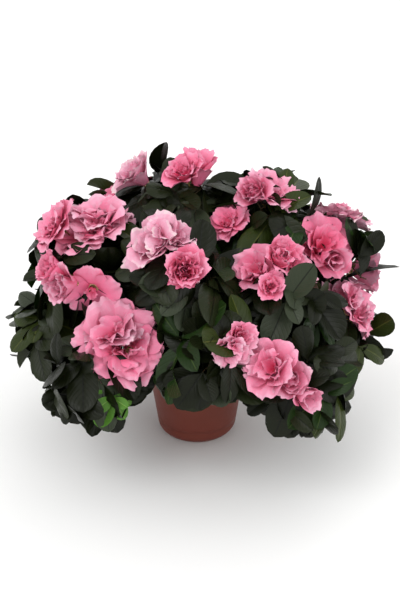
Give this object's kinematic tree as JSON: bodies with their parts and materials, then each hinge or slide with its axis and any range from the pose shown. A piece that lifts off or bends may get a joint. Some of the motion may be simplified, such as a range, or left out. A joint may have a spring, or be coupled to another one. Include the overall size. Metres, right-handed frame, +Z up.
{
  "type": "potted azalea shrub",
  "caption": "Low domed evergreen azalea in full double blossom, growing from a short trunk and spreading boughs in a plain round plastic pot.",
  "frame": {"origin": "centre of the flat underside of the pot", "axes": "+Z up through the pot and the trunk's foot, +X to the plant's right seen from its front, -Y to the front"},
  "size_m": [0.4475, 0.3962, 0.3335],
  "materials": {
    "pot_plastic": "satin",
    "peat": "matte",
    "bark": "matte",
    "foliage": "satin"
  },
  "bodies": {
    "root": {"pot": "pot_plastic", "root_ball": "peat", "trunk": "bark", "bough_back_left": "bark", "bough_back_right": "bark", "bough_front": "bark", "bough_front_right": "bark", "bough_low_back": "bark", "bough_low_back_left": "bark", "bough_low_back_right": "bark", "bough_low_front_left": "bark", "bough_low_front_right": "bark", "bough_low_left": "bark", "bough_low_right": "bark", "bough_right": "bark", "bough_top": "bark", "bough_top_front": "bark", "bough_top_left": "bark", "bough_top_right": "bark", "foliage_back_left": "foliage", "foliage_back_right": "foliage", "foliage_front": "foliage", "foliage_front_right": "foliage", "foliage_low_back": "foliage", "foliage_low_back_left": "foliage", "foliage_low_back_right": "foliage", "foliage_low_front_left": "foliage", "foliage_low_front_right": "foliage", "foliage_low_left": "foliage", "foliage_low_right": "foliage", "foliage_right": "foliage", "foliage_top": "foliage", "foliage_top_front": "foliage", "foliage_top_left": "foliage", "foliage_top_right": "foliage"}
  },
  "joints": []
}
